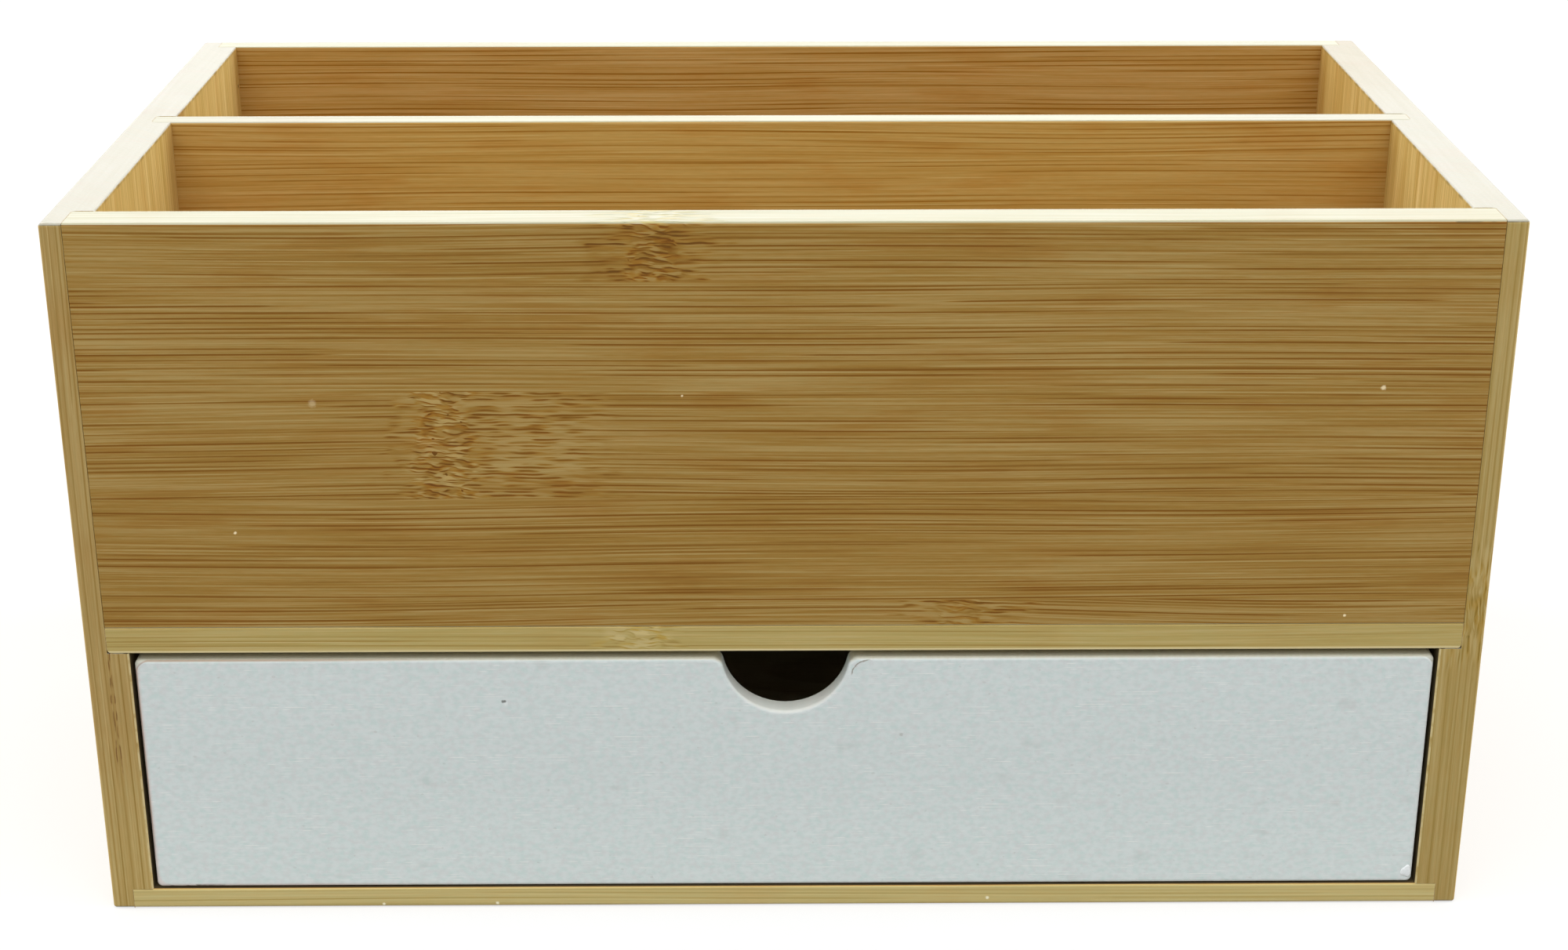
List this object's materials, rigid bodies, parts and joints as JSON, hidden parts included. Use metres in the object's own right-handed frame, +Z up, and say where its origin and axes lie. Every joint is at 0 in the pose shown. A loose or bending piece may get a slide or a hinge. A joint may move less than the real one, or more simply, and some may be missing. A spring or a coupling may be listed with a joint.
{
  "type": "desk organizer",
  "caption": "Open-topped bamboo desk box: long compartments split by a divider, above a shallow painted drawer with a half-round finger notch.",
  "frame": {"origin": "centre of the underside of the case", "axes": "+X to the right, +Y to the back, +Z up; the drawer opens towards -Y"},
  "size_m": [0.25, 0.14, 0.132],
  "materials": {
    "side_bamboo": "satin clear coat, upright grain",
    "front_bamboo": "satin clear coat, grain left to right, dark nodes",
    "inner_bamboo": "satin clear coat, grain left to right",
    "floor_bamboo": "satin clear coat, paler edge grain",
    "drawer_paint": "thin matt grey-white paint over wood",
    "drawer_bamboo": "bare sanded",
    "drawer_ply": "bare sanded ply"
  },
  "bodies": {
    "case": {"left_side": "side_bamboo", "right_side": "side_bamboo", "front_panel": "front_bamboo", "divider": "inner_bamboo", "back_panel": "inner_bamboo", "shelf": "floor_bamboo", "base": "floor_bamboo"},
    "drawer": {"drawer_front": "drawer_paint", "drawer_left_side": "drawer_bamboo", "drawer_right_side": "drawer_bamboo", "drawer_back": "drawer_bamboo", "drawer_bottom": "drawer_ply"}
  },
  "joints": [
    {"name": "drawer_slide", "type": "slide", "parent": "case", "child": "drawer", "axis": [0, -1, 0], "range_m": [0, 0.104]}
  ]
}
